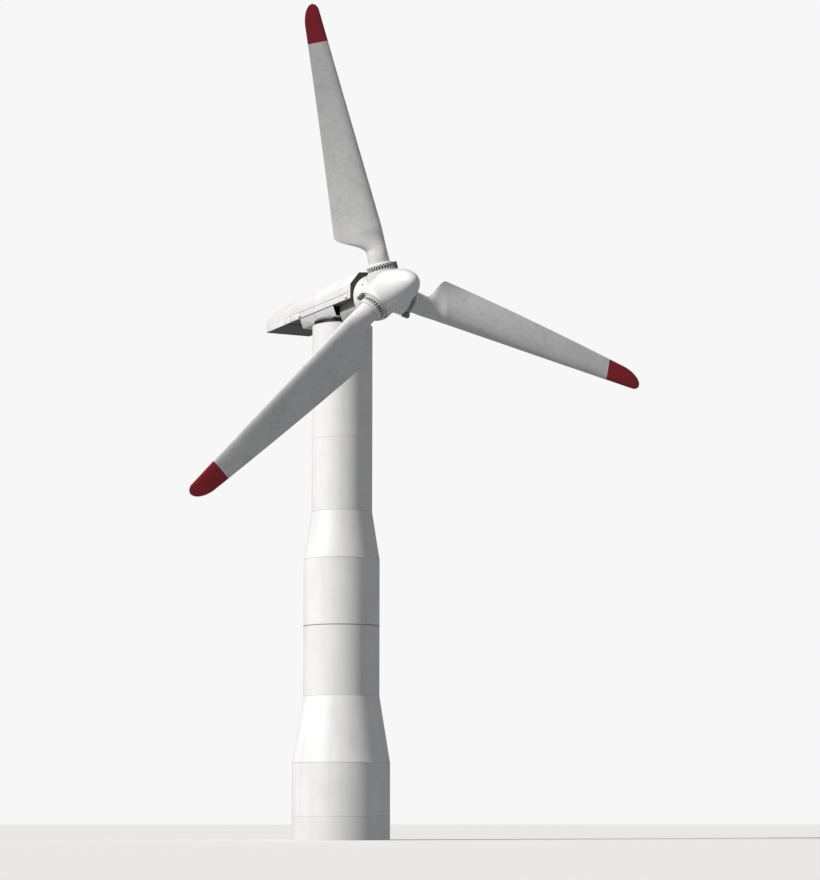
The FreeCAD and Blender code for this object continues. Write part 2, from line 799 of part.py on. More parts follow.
def chin_form(inset):
    """The chin's outer or inner form: a side view, a front view and a plan, crossed."""
    nose, back = size("nose_y") + inset, size("keel_front_y")
    top = size("floor_level") - size("skin") + (1 if inset else 0)
    half, side_level = size("chin_half_width") - inset, size("chin_side_level")
    low_half, low = half - 100, size("chin_low_level") + inset
    bend, prow = nose + size("chin_bend_length"), nose + size("prow_length")
    side = [(back, low), (bend, size("chin_bend_level") + inset),
            (nose, size("chin_tip_level") + inset), (nose, top), (back, top)]
    front = [(-half, top), (-half, side_level), (-low_half, low - 10),
             (low_half, low - 10), (half, side_level), (half, top)]
    plan = [(-half, back), (-half, prow), (0, nose), (half, prow), (half, back)]
    lengthwise = outline_face(side, lambda y, z: vec(-900, y, z)).extrude(vec(1800, 0, 0))
    crosswise = outline_face(front, lambda x, z: vec(x, -3000, z)).extrude(vec(0, 3000, 0))
    standing = outline_face(plan, lambda x, y: vec(x, y, 15000)).extrude(vec(0, 0, 1000))
    return lengthwise.common(crosswise).common(standing)


def chin():
    """The faceted cowl in front of the tower top, with a blunt prow."""
    skin, back = size("skin"), size("keel_front_y")
    shell = chin_form(0).cut(chin_form(skin))
    half = size("keel_half_width") - 40
    opening = block((-half, half), (back - 2 * skin, back + 1),
                    (size("yaw_race_top + bed_foot") - 2, size("floor_level")))
    shaped("chin", shell.cut(opening).cut(shaft_passage()))


def bulkhead():
    """The dark front frame that the hood ends on, round the shaft opening."""
    body = new_body("front_frame")
    section = polygon_sketch(body, "XZ_Plane", [
        ("0 - half_width", "floor_level"),
        ("half_width", "floor_level"),
        ("half_width", "shoulder_level"),
        ("ridge_half", "ridge_level"),
        ("0", "roof_level"),
        ("0 - ridge_half", "ridge_level"),
        ("0 - half_width", "shoulder_level"),
    ], "0 - nose_y")
    add_pad(body, section, "60")
    hole = circle_sketch(body, "XZ_Plane", [("0", "shaft_height + 38", "330")], "0 - nose_y")
    add_pocket(body, hole, "80", backwards=True)
    return body


def cabinet():
    body = new_body("control_cabinet")
    outline = polygon_sketch(body, "XY_Plane", [
        ("-330", "2050"), ("330", "2050"), ("330", "3150"), ("-330", "3150"),
    ], "floor_level")
    add_pad(body, outline, "470")
    return body


def nacelle():
    bedplate()
    floor()
    keel()
    chin()
    bulkhead()
    side_bands()
    hood()
    for name, side in (("side_flap_left", -1), ("side_flap_right", 1)):
        side_flap(name, side)
    for where, side in (("left", -1), ("right", 1)):
        for end in ("front", "rear"):
            flap_latch(f"latch_{where}_{end}", side, end)
    cabinet()


# ---------------------------------------------------------------- rotor

def hub():
    """A cast hub: a hollow ball with three arms and a tail flange."""
    centre, radius, wall = size("hub_distance"), size("hub_radius"), 60
    flange, arm_end = size("hub_flange_face"), size("arm_end")
    ball = Part.makeSphere(radius, vec(0, 0, centre))
    cavity = Part.makeSphere(radius - wall, vec(0, 0, centre))
    casting = ball.fuse(rod(size("hub_flange_radius"), flange, centre))
    hollow = cavity.fuse(rod(150, flange - 10, centre))
    for number in range(3):
        turn = shaft_frame().inverse().multiply(blade_frame(number))
        arm, bore = rod(size("arm_radius"), 0, arm_end), rod(300, 0, arm_end + 1)
        arm.Placement = turn
        bore.Placement = turn
        casting, hollow = casting.fuse(arm), hollow.fuse(bore)
    shaped("hub_casting", casting.cut(hollow), shaft_frame())


# each screw's station on the shaft line, its bearing in degrees clockwise from the
# top as seen from the nose's side, and the radius of its sunk seat
SPINNER_SCREWS = ((2650, 295, 619), (3550, 175, 576), (2650, 55, 619))


def spinner_form(inset):
    """The spinner's profile turned about Z: a slow flare behind an elliptic nose."""
    radius, rear = size("spinner_radius") - inset, size("spinner_rear")
    widest = size("hub_distance") - 100
    length = size("hub_distance + nose_length") - widest - inset
    ellipse = Part.Ellipse(vec(0, 0, widest + length), vec(radius, 0, widest), vec(0, 0, widest))
    nose = Part.Arc(ellipse, 0, math.pi / 2).toShape()
    tip, shoulder = nose.Vertexes[0].Point, nose.Vertexes[-1].Point
    if shoulder.x < tip.x:
        tip, shoulder = shoulder, tip
    edge = vec(size("spinner_rear_radius") - inset, 0, rear)
    middle = vec(radius + (edge.x - radius) / 4, 0, (widest + rear) / 2)
    flank = Part.Arc(shoulder, middle, edge).toShape()
    base = Part.makeLine(edge, vec(0, 0, rear))
    axis = Part.makeLine(vec(0, 0, rear), tip)
    face = Part.Face(Part.Wire(Part.__sortEdges__([nose, flank, base, axis])))
    return face.revolve(vec(0, 0, 0), vec(0, 0, 1), 360)


def spinner():
    inside = spinner_form(size("skin"))
    shell = spinner_form(0).cut(inside)
    turns = [shaft_frame().inverse().multiply(blade_frame(number)) for number in range(3)]
    opening_radius, rim = size("race_outer") + 25, 15
    for turn in turns:
        collar = rod(opening_radius + rim, 300, size("race_top") - 22)
        collar.Placement = turn
        shell = shell.fuse(collar.cut(inside))
    for turn in turns:
        opening = rod(opening_radius, 200, 1200)
        opening.Placement = turn
        shell = shell.cut(opening)

    screws = []
    for station, bearing, seat in SPINNER_SCREWS:
        head, recess = bolt_head(26, 11), rod(34, 0, 60)
        for piece in (head, recess):
            piece.translate(vec(0, 0, seat))
            piece.rotate(vec(0, 0, 0), vec(0, 1, 0), 90)
            piece.translate(vec(0, 0, station))
            piece.rotate(vec(0, 0, 0), vec(0, 0, 1), 90 - bearing)
        screws.append(head)
        shell = shell.cut(recess)
    shaped("spinner", shell, shaft_frame())
    shaped("spinner_screws", Part.makeCompound(screws), shaft_frame())

    ring = rod(size("spinner_radius - skin") - 4, 2600, 2616, 300)
    shaped("spinner_frame", ring, shaft_frame())


def pitch_races():
    races, locks = [], []
    for number in range(3):
        race = rod(size("race_outer"), size("arm_end"), size("race_top"), size("race_inner"))
        lock = block((size("collar_radius") + 12, 525), (-70, 70),
                     (size("race_top"), size("collar_top") - 20))
        for piece, group in ((race, races), (lock, locks)):
            piece.Placement = blade_frame(number)
            group.append(piece)
    shaped("pitch_races", Part.makeCompound(races))
    shaped("pitch_locks", Part.makeCompound(locks))


def pitch_rod():
    """The rod through the hollow shaft, its piston and the three-armed crosshead."""
    piston_front, crosshead = size("cylinder_front") - 35, size("hub_distance") + 200
    bar = rod(size("rod_radius"), piston_front - 30, crosshead)
    bar = bar.fuse(rod(size("piston_radius"), piston_front - 35, piston_front))
    for number in range(3):
        arm = block((-35, 35), (0, 190), (crosshead - 30, crosshead))
        arm.rotate(vec(0, 0, 0), vec(0, 0, 1), -size("rest_azimuth") - 120 * number)
        bar = bar.fuse(arm)
    shaped("pitch_rod", bar, shaft_frame())


def rotor():
    hub()
    spinner()
    pitch_races()
    pitch_rod()


# ---------------------------------------------------------------- blades

# how much of the tip's chord is rounded off from the leading edge's side
FRONT_SHARE = 0.34


def ease(part):
    """0 to 1 with a level start and end."""
    part = min(1.0, max(0.0, part))
    return part * part * (3 - 2 * part)


def straight_chord(span):
    """The chord of the straight taper, before the tip is rounded."""
    shoulder, largest = size("shoulder_span"), size("largest_chord")
    slope = (largest - size("paint_chord")) / (size("paint_span") - shoulder)
    return largest - slope * (span - shoulder)


def rounding(span, length):
    """0 before the rounded end, 1 at the very tip, along a quarter ellipse."""
    part = max(0.0, (span - size("rotor_radius") + size(length)) / size(length))
    return 1 - math.sqrt(max(0.0, 1 - part ** 2))


def leading_edge(span):
    """Distance of the leading edge ahead of the pitch axis."""
    neck, shoulder = size("neck_radius"), size("shoulder_span")
    if span < shoulder:
        part = ease((span - size("collar_top")) / (shoulder - size("collar_top")))
        return neck + (size("edge_lead") - neck) * part
    swept = (span - shoulder) / (size("rotor_radius") - shoulder)
    straight = size("edge_lead") - size("edge_sweep") * swept
    return straight - FRONT_SHARE * straight_chord(span) * rounding(span, "tip_front_length")


def chord(span):
    """Round neck, quick swell to the shoulder, straight taper, rounded tip."""
    neck, shoulder = 2 * size("neck_radius"), size("shoulder_span")
    if span < shoulder:
        swell_start = size("swell_span")
        part = (span - swell_start) / (shoulder - swell_start)
        return neck + (size("largest_chord") - neck) * ease(part)
    taken = (FRONT_SHARE * rounding(span, "tip_front_length")
             + (1 - FRONT_SHARE) * rounding(span, "tip_back_length"))
    return straight_chord(span) * (1 - taken)


def section_wire(span, wall=0.0):
    """A closed section: a circle at the neck that turns into a cambered aerofoil.

    With a wall it is the section of the hollow inside, drawn in on every side.
    """
    neck, shoulder, radius = size("neck_radius"), size("shoulder_span"), size("rotor_radius")
    width = chord(span)
    form = ease((span - size("collar_top") - 100) / (shoulder - size("collar_top") - 100))
    slim = min(1.0, max(0.0, (span - shoulder) / (radius - shoulder)))
    aerofoil_thickness = (0.29 - 0.15 * slim ** 0.6) * width
    thickness = (1 - form) * 2 * neck + form * aerofoil_thickness - 2 * wall
    twist = math.radians(size("root_twist") * form * (1 - slim) ** 1.4)
    front = leading_edge(span) - wall
    camber_rise = form * 0.1 * width
    width -= (2 + 2 * form) * wall
    corners = []
    count = 32
    for index in range(count):
        angle = 2 * math.pi * (index + 0.5) / count
        along = (1 - math.cos(angle)) / 2
        side = 1 if math.sin(angle) >= 0 else -1
        foil = 5 * (0.2969 * math.sqrt(along) - 0.126 * along - 0.3516 * along ** 2
                    + 0.2843 * along ** 3 - 0.1015 * along ** 4)
        oval = abs(math.sin(angle)) / 2
        depth = side * thickness * ((1 - 0.93 * form) * oval + 0.93 * form * foil)
        camber = camber_rise * along * (1 - along)
        x, y = front - along * width, depth + camber
        corners.append(vec(x * math.cos(twist) + y * math.sin(twist),
                           -x * math.sin(twist) + y * math.cos(twist), span))
    return Part.makePolygon(corners + corners[:1])


def blade_loft(spans, wall=0.0):
    return Part.makeLoft([section_wire(span, wall) for span in spans], True, True)


def blade_root():
    """The bored steel root: bearing spigot, stud groove and wide collar."""
    body = [
        ("230", "arm_end + 2"),
        ("race_inner - 2", "arm_end + 2"),
        ("race_inner - 2", "race_top + 2"),
        ("collar_radius", "race_top + 2"),
        ("collar_radius", "race_top + 30"),
        ("collar_radius - 60", "race_top + 30"),
        ("collar_radius - 60", "collar_bottom"),
        ("collar_radius", "collar_bottom"),
        ("collar_radius", "collar_top - 40"),
        ("collar_radius - 40", "collar_top"),
        ("230", "collar_top"),
    ]
    return body


def root_fasteners():
    """Studs and nuts in the groove, and the barrel nuts round the collar."""
    low, high = size("race_top") + 30, size("collar_bottom")
    stud = rod(size("stud_radius"), 0, high - low).fuse(bolt_head(29, 80))
    barrel = Part.makeCylinder(15, 6, vec(size("collar_radius"), 0, 0), vec(1, 0, 0))
    return Part.makeCompound([
        ring_of(stud, "stud_circle", "stud_count", low),
        ring_of(barrel, "0", "stud_count", size("collar_top") - 75),
    ])


def blades():
    shoulder, top = size("shoulder_span"), size("collar_top")
    paint, tip = size("paint_span"), size("rotor_radius")
    swell = [top + (shoulder - top) * part / 10 for part in range(11)]
    taper = [shoulder + (paint - shoulder) * (part / 8) ** 1.3 for part in range(1, 9)]
    back = size("tip_back_length")
    outer = [paint] + [tip - back + back * math.sin(math.radians(angle))
                       for angle in (0, 20, 36, 46, 54, 62, 70, 77, 82, 86)]
    shell, end = blade_loft(swell + taper), blade_loft(outer)
    hollow = blade_loft([top - 1] + swell[1:] + taper[:-2], size("blade_wall"))
    shell = shell.cut(hollow)
    for number in range(3):
        placement = blade_frame(number)
        shaped(f"blade_{number + 1}_shell", shell.copy(), placement)
        shaped(f"blade_{number + 1}_tip", end.copy(), placement)
        turned(f"blade_{number + 1}_root", blade_root()).Placement = placement
        shaped(f"blade_{number + 1}_fasteners", root_fasteners(), placement)


# ---------------------------------------------------------------- checks and files

def check_and_write():
    doc.recompute()
    for item in doc.Objects:
        if {"Invalid", "Error"} & set(item.State):
            raise RuntimeError(f"{item.Label}: {item.State}")
    os.makedirs("parts", exist_ok=True)
    for node in nodes:
        if node.Shape.isNull() or not node.Shape.isValid() or not node.Shape.Solids:
            raise RuntimeError(f"{node.Label} has no valid solid")
        node.Shape.exportStep(f"parts/{node.Label}.step")


tower()
yaw_drive()
nacelle()
drive_train()
rotor()
blades()
check_and_write()
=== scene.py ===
import json
import math

import bpy
from mathutils import Matrix, Vector


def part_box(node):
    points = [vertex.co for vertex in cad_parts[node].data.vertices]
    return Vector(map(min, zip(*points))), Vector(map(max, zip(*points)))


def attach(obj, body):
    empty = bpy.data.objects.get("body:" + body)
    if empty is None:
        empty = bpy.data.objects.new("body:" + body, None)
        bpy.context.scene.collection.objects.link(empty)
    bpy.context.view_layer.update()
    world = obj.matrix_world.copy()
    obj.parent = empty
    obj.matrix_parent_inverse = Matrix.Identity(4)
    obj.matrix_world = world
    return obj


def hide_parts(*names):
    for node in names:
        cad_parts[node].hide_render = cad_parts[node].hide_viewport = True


# Looks of a three-bladed upwind wind turbine. Metres, the nose towards -Y.

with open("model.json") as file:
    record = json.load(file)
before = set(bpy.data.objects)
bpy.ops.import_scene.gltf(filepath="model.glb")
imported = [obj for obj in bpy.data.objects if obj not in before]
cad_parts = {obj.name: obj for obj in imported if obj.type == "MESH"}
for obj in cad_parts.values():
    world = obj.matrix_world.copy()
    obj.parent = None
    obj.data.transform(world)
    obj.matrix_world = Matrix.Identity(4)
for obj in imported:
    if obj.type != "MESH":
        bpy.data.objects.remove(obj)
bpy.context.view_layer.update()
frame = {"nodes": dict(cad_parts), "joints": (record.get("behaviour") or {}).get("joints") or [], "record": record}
NODES = frame["nodes"]
JOINTS = {joint["name"]: joint for joint in frame["joints"]}
SLOT_OF = {row["node"]: row["material_slot"] for row in frame["record"]["subparts"]}

# ---------------------------------------------------------------- sizes

HALF_WIDTH = 0.750                     # half the nacelle's width
BAND_LOW, BAND_TOP = 15.680, 15.870    # lower and upper edge of the side bands
FLOOR_UNDERSIDE = 15.668

# a span is a distance out along a blade from the shaft line
REST_AZIMUTH = math.radians(-16)
ROTOR_RADIUS = 8.700
COLLAR_TOP = 0.850
SWELL_SPAN = 1.240
NECK_RADIUS = 0.310
EDGE_LEAD, EDGE_SWEEP = 0.340, 0.135   # leading edge ahead of the pitch axis, and its loss by the tip
SHOULDER_SPAN = 1.900
LARGEST_CHORD = 1.450
PAINT_SPAN = 7.540
PAINT_CHORD = 0.660
TIP_BACK_LENGTH = 0.620
TIP_FRONT_LENGTH = 0.210
FRONT_SHARE = 0.34                     # share of the tip chord rounded off from the leading edge

ROUND_LENGTH = 0.100                   # length over the collar where the section stays a circle
ROOT_TWIST, TWIST_POWER = 17, 1.4      # degrees at the shoulder, and how fast they run out
ROOT_THICKNESS = 0.29                  # share of the chord at the shoulder
THINNING, THINNING_POWER = 0.15, 0.6   # what that share loses by the tip, and how soon
FOIL_SHARE = 0.93                      # the rest of a section's thickness is an ellipse
CAMBER = 0.1                           # four times the camber line's rise, as a share of the chord

# a distance is measured along the shaft line, forward from the shaft's origin
HUB_DISTANCE = 3.100
NOSE_START = 3.000
NOSE_LENGTH = 1.800                    # ahead of the hub's centre
SPINNER_REAR = 2.250
SPINNER_RADIUS = 0.610
SPINNER_REAR_RADIUS = 0.685
COLLAR_RING_RADIUS = 0.490
BEAD_RADIUS = 0.012

# ---------------------------------------------------------------- shaft frame

AXIS = Vector(JOINTS["rotor_spin"]["axis"]).normalized()
HUB = Vector(JOINTS["rotor_spin"]["pos_m"])
RIGHT = Vector((1, 0, 0))
UP = AXIS.cross(RIGHT).normalized()
SHAFT_ORIGIN = HUB - AXIS * HUB_DISTANCE


def frame_matrix(origin, x_axis, y_axis, z_axis):
    """The placement whose local axes are the three given directions."""
    matrix = Matrix((x_axis, y_axis, z_axis)).transposed().to_4x4()
    matrix.translation = origin
    return matrix


def blade_matrix(number):
    """+Z out along the span, +X towards the leading edge, +Y downwind."""
    angle = REST_AZIMUTH + math.radians(120 * (number - 1))
    outward = RIGHT * math.sin(angle) + UP * math.cos(angle)
    across = RIGHT * math.cos(angle) - UP * math.sin(angle)
    return frame_matrix(HUB, across, outward.cross(across), outward)


# ---------------------------------------------------------------- mesh helpers

def new_piece(name, vertices, faces, place=Matrix.Identity(4), smooth=True):
    mesh = bpy.data.meshes.new(name)
    mesh.from_pydata([place @ Vector(v) for v in vertices], [], faces)
    mesh.update()
    for face in mesh.polygons:
        face.use_smooth = smooth
    piece = bpy.data.objects.new(name, mesh)
    bpy.context.scene.collection.objects.link(piece)
    return piece


def dress(piece, body, material):
    """Gives a new piece its body and its material."""
    piece.data.materials.append(material)
    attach(piece, body)
    return piece


def skin_rings(rings, closed_ends=True):
    """Quads between rings of equal length, with flat end caps."""
    count = len(rings[0])
    vertices = [point for ring in rings for point in ring]
    faces = []
    for level in range(len(rings) - 1):
        for index in range(count):
            after = (index + 1) % count
            low, high = level * count, (level + 1) * count
            faces.append((low + index, low + after, high + after, high + index))
    if closed_ends:
        faces.append(tuple(reversed(range(count))))
        last = (len(rings) - 1) * count
        faces.append(tuple(range(last, last + count)))
    return vertices, faces


def flatten_caps(piece):
    """Shades the two end caps of a skinned piece flat."""
    for cap in piece.data.polygons[-2:]:
        cap.use_smooth = False


def lathe(profile, count):
    """A closed profile of (radius, height) points turned about Z."""
    vertices, faces = [], []
    points = len(profile)
    for step in range(count):
        angle = 2 * math.pi * step / count
        for radius, height in profile:
            vertices.append((radius * math.cos(angle), radius * math.sin(angle), height))
    for step in range(count):
        here, after = step * points, ((step + 1) % count) * points
        for index in range(points):
            following = (index + 1) % points
            faces.append((here + index, after + index, after + following, here + following))
    return vertices, faces


def tube_along(points, radius, sides=12):
    """A closed tube along a closed line of points that runs round the hub."""
    rings = []
    total = len(points)
    for index, point in enumerate(points):
        along = (points[(index + 1) % total] - points[index - 1]).normalized()
        outward = (point - HUB).normalized()
        side = along.cross(outward).normalized()
        normal = side.cross(along)
        rings.append([point + radius * (math.cos(a) * side + math.sin(a) * normal)
                      for a in (2 * math.pi * i / sides for i in range(sides))])
    return skin_rings(rings + rings[:1], closed_ends=False)


def split_edges(piece, angle):
    """Keeps edges sharper than the angle crisp in a smooth-shaded piece."""
    split = piece.modifiers.new("edges", "EDGE_SPLIT")
    split.split_angle = angle


# ---------------------------------------------------------------- material helpers

def node_graph(name):
    material = bpy.data.materials.new(name)
    material.use_nodes = True
    graph = material.node_tree
    shader = graph.nodes["Principled BSDF"]
    place = graph.nodes.new("ShaderNodeTexCoord").outputs["Object"]
    return material, graph, shader, place


def noise(graph, place, scale, detail, stretch=(1, 1, 1), roughness=0.55):
    mapping = graph.nodes.new("ShaderNodeMapping")
    mapping.inputs["Scale"].default_value = stretch
    graph.links.new(place, mapping.inputs["Vector"])
    texture = graph.nodes.new("ShaderNodeTexNoise")
    texture.inputs["Scale"].default_value = scale
    texture.inputs["Detail"].default_value = detail
    texture.inputs["Roughness"].default_value = roughness
    graph.links.new(mapping.outputs["Vector"], texture.inputs["Vector"])
    return texture.outputs["Fac"]


def as_colour(value):
    if isinstance(value, (int, float)):
        return (value, value, value, 1)
    return (*value, 1)


def shaded(tone, share):
    """The tone made lighter or darker by a factor."""
    return tuple(channel * share for channel in tone)


def ramp(graph, factor, low, high, start, end):
    """A two-stop ramp from one value or colour to another."""
    node = graph.nodes.new("ShaderNodeValToRGB")
    stops = node.color_ramp.elements
    stops[0].position, stops[1].position = start, end
    stops[0].color = as_colour(low)
    stops[1].color = as_colour(high)
    graph.links.new(factor, node.inputs["Fac"])
    return node.outputs["Color"]


def mixed(graph, factor, first, second):
    """A blend of two colours, each given as a value or as another node's output."""
    node = graph.nodes.new("ShaderNodeMix")
    node.data_type = "RGBA"
    for value, socket in ((factor, node.inputs[0]), (first, node.inputs[6]),
                          (second, node.inputs[7])):
        if isinstance(value, bpy.types.NodeSocket):
            graph.links.new(value, socket)
        elif socket.type == "VALUE":
            socket.default_value = value
        else:
            socket.default_value = as_colour(value)
    return node.outputs[2]


def bump(graph, shader, height, strength, distance):
    node = graph.nodes.new("ShaderNodeBump")
    node.inputs["Strength"].default_value = strength
    node.inputs["Distance"].default_value = distance
    graph.links.new(height, node.inputs["Height"])
    graph.links.new(node.outputs["Normal"], shader.inputs["Normal"])


# ---------------------------------------------------------------- materials

def coated(name, tone, soil, soil_amount, roughness, grain=60.0, streak=(1, 1, 0.08), coat=0.0):
    """Paint or gelcoat: cloudy tone, run-down streaks of soil, fine orange peel."""
    material, graph, shader, place = node_graph(name)
    cloud = noise(graph, place, 0.9, 5)
    fleck = noise(graph, place, 14.0, 3)
    runs = noise(graph, place, 3.2, 6, streak)
    base = ramp(graph, cloud, shaded(tone, 0.955), shaded(tone, 1.04), start=0.32, end=0.68)
    run_soil = ramp(graph, runs, 0.0, soil_amount, start=0.50, end=0.78)
    stained = mixed(graph, run_soil, base, soil)
    fleck_soil = ramp(graph, fleck, 0.0, soil_amount * 0.4, start=0.58, end=0.75)
    graph.links.new(mixed(graph, fleck_soil, stained, soil), shader.inputs["Base Color"])
    sheen = ramp(graph, fleck, roughness, roughness + 0.16, start=0.35, end=0.7)
    graph.links.new(sheen, shader.inputs["Roughness"])
    shader.inputs["Coat Weight"].default_value = coat
    bump(graph, shader, noise(graph, place, grain, 2), strength=0.08, distance=0.002)
    return material


def bare_metal(name, tone, soil, roughness, metallic=1.0):
    """Machined or galvanised steel with brushed grain and oily patches."""
    material, graph, shader, place = node_graph(name)
    patch = noise(graph, place, 7.0, 5)
    brushed = noise(graph, place, 90.0, 2, stretch=(1, 1, 9))
    base = ramp(graph, brushed, shaded(tone, 0.8), tone, start=0.3, end=0.7)
    patch_soil = ramp(graph, patch, 0.0, 0.6, start=0.45, end=0.7)
    graph.links.new(mixed(graph, patch_soil, base, soil), shader.inputs["Base Color"])
    sheen = ramp(graph, patch, roughness, roughness + 0.25, start=0.35, end=0.7)
    graph.links.new(sheen, shader.inputs["Roughness"])
    shader.inputs["Metallic"].default_value = metallic
    bump(graph, shader, brushed, strength=0.15, distance=0.001)
    return material


def cast_paint(name, tone, soil, roughness=0.5):
    """Painted casting: pebbled skin, soil in the hollows."""
    material, graph, shader, place = node_graph(name)
    pebble = noise(graph, place, 45.0, 4)
    patch = noise(graph, place, 3.0, 5)
    base = ramp(graph, patch, shaded(tone, 0.85), tone, start=0.3, end=0.7)
    hollow_soil = ramp(graph, pebble, 0.35, 0.0, start=0.3, end=0.5)
    graph.links.new(mixed(graph, hollow_soil, base, soil), shader.inputs["Base Color"])
    sheen = ramp(graph, patch, roughness, roughness + 0.2, start=0.3, end=0.7)
    graph.links.new(sheen, shader.inputs["Roughness"])
    bump(graph, shader, pebble, strength=0.35, distance=0.002)
    return material


def blade_paint(name, tone, soil, wear):
    """Blade gelcoat: clouded tone, mottled soil and specks of wear."""
    material, graph, shader, place = node_graph(name)
    cloud = noise(graph, place, 1.3, 6)
    mottle = noise(graph, place, 6.5, 6, roughness=0.7)
    speck = noise(graph, place, 42.0, 3)
    base = ramp(graph, cloud, shaded(tone, 0.93), tone, start=0.35, end=0.65)
    dirty = mixed(graph, ramp(graph, mottle, 0.0, 0.34, start=0.48, end=0.74), base, soil)
    worn = mixed(graph, ramp(graph, speck, 0.0, 0.28, start=0.62, end=0.72), dirty, wear)
    graph.links.new(worn, shader.inputs["Base Color"])
    sheen = ramp(graph, mottle, 0.30, 0.50, start=0.35, end=0.7)
    graph.links.new(sheen, shader.inputs["Roughness"])
    bump(graph, shader, speck, strength=0.06, distance=0.001)
    return material


GREY_SOIL = (0.33, 0.31, 0.28)
RUST_SOIL = (0.52, 0.45, 0.34)
OIL = (0.03, 0.027, 0.022)


def tower_paint(name, tone):
    return coated(name, tone, RUST_SOIL, 0.22, 0.42, streak=(1, 1, 0.06))


# after tone and soil come the amount of soil, in a coated one, and the least roughness;
# a blade's paint takes the tones of its soil and of its wear instead
MATERIALS = {
    "tower_paint": tower_paint("tower paint", (0.85, 0.85, 0.84)),
    "nacelle_gelcoat": coated("nacelle gelcoat", (0.87, 0.87, 0.865), GREY_SOIL, 0.13, 0.3,
                              coat=0.25),
    "keel_gelcoat": coated("keel gelcoat", (0.76, 0.76, 0.755), GREY_SOIL, 0.3, 0.36, coat=0.2),
    "chin_paint": coated("chin paint", (0.50, 0.50, 0.50), OIL, 0.25, 0.42),
    "floor_dark_paint": coated("tail floor paint", (0.125, 0.125, 0.127), GREY_SOIL, 0.4, 0.5),
    "front_frame_dark": coated("front frame paint", (0.045, 0.045, 0.05), GREY_SOIL, 0.35, 0.5),
    "spinner_gelcoat": coated("spinner gelcoat", (0.88, 0.88, 0.88), GREY_SOIL, 0.18, 0.26,
                              streak=(1, 0.2, 1), coat=0.35),
    "pitch_race_paint": coated("pitch race paint", (0.74, 0.74, 0.73), GREY_SOIL, 0.4, 0.36),
    "pitch_lock_grey": coated("pitch lock paint", (0.24, 0.24, 0.245), GREY_SOIL, 0.4, 0.45),
    "blade_root_paint": coated("blade root paint", (0.83, 0.83, 0.82), GREY_SOIL, 0.35, 0.36),
    "cabinet_paint": coated("cabinet paint", (0.42, 0.43, 0.42), GREY_SOIL, 0.25, 0.4),
    "frame_paint": coated("machine frame paint", (0.16, 0.18, 0.20), OIL, 0.4, 0.42),
    "gearbox_paint": cast_paint("gearbox paint", (0.22, 0.25, 0.28), OIL),
    "generator_paint": cast_paint("generator paint", (0.08, 0.16, 0.24), OIL, 0.42),
    "motor_paint": cast_paint("motor paint", (0.06, 0.10, 0.15), OIL, 0.4),
    "brake_caliper_paint": cast_paint("brake caliper paint", (0.40, 0.03, 0.02), OIL, 0.35),
    "cast_housing": cast_paint("bearing housing paint", (0.14, 0.16, 0.18), OIL),
    "cast_hub": cast_paint("hub casting paint", (0.32, 0.33, 0.34), OIL),
    "dark_bolts": bare_metal("weathered bolts", (0.05, 0.05, 0.055), (0.09, 0.06, 0.04), 0.45),
    "galvanised_bolts": bare_metal("galvanised bolts", (0.62, 0.63, 0.64), GREY_SOIL, 0.42,
                                   metallic=0.3),
    "dark_machined_steel": bare_metal("yaw race steel", (0.05, 0.05, 0.055), OIL, 0.4),
    "greased_gear_steel": bare_metal("greased gear steel", (0.16, 0.15, 0.13), OIL, 0.25),
    "machined_shaft_steel": bare_metal("ground shaft steel", (0.55, 0.55, 0.57), OIL, 0.2),
    "brake_disc_steel": bare_metal("turned disc steel", (0.30, 0.29, 0.28), OIL, 0.3),
    "tower_inner_steel": bare_metal("flange steel", (0.30, 0.30, 0.31), GREY_SOIL, 0.45),
    "dark_rubbered_latch": coated("latch moulding", (0.03, 0.03, 0.032), GREY_SOIL, 0.3, 0.55,
                                  grain=140.0),
    "blade_gelcoat": blade_paint("blade gelcoat", (0.82, 0.82, 0.82), (0.36, 0.34, 0.31),
                                 (0.30, 0.29, 0.27)),
    "tip_red_paint": blade_paint("tip red", (0.36, 0.012, 0.022), (0.16, 0.02, 0.03),
                                 (0.42, 0.12, 0.11)),
}

# trim with a look of its own, apart from the record's slot materials
EDGE_MATERIAL = coated("paint edge", (0.88, 0.88, 0.87), GREY_SOIL, 0.15, 0.4)
# painted shade: a near-black tone laid in the blade roots' stud groove, standing in for the recess's shade
GROOVE_SHADE_MATERIAL = coated("painted groove shade", (0.03, 0.03, 0.032), GREY_SOIL, 0.25, 0.5)
SEAL_MATERIAL = coated("rubber seal", (0.035, 0.035, 0.037), GREY_SOIL, 0.3, 0.6, grain=180.0)
SEAM_MATERIAL = coated("seam sealant", (0.66, 0.655, 0.65), GREY_SOIL, 0.3, 0.5, grain=200.0)
JOINT_MATERIAL = coated("joint sealant", (0.34, 0.33, 0.32), GREY_SOIL, 0.5, 0.5, grain=200.0)

# ---------------------------------------------------------------- CAD nodes

TOWER_GREY = 0.85
TOWER_TONES = {
    "tower_base_can": 0.97, "tower_lower_can": 1.0, "tower_lower_cone": 1.01,
    "tower_middle_can_low": 0.985, "tower_middle_can_high": 1.0, "tower_upper_cone": 0.975,
    "tower_top_can_low": 0.99, "tower_top_can_middle": 1.0, "tower_top_can_high": 0.985,
}
BEVELS = {
    "hood": 0.030, "side_bands": 0.004, "side_flap_left": 0.004, "side_flap_right": 0.004,
    "keel": 0.012, "chin": 0.020, "front_frame": 0.006, "control_cabinet": 0.008,
    "gearbox_case": 0.010, "bedplate": 0.006, "generator": 0.006, "yaw_motors": 0.004,
    "main_bearings": 0.008, "brake_caliper": 0.004, "pitch_locks": 0.008,
    "hub_casting": 0.012, "pitch_races": 0.006, "spinner_screws": 0.003,
    "blade_1_fasteners": 0.003, "blade_2_fasteners": 0.003, "blade_3_fasteners": 0.003,
}
SMOOTH_ANGLE = math.radians(32)
WELD_DISTANCE = 0.00002


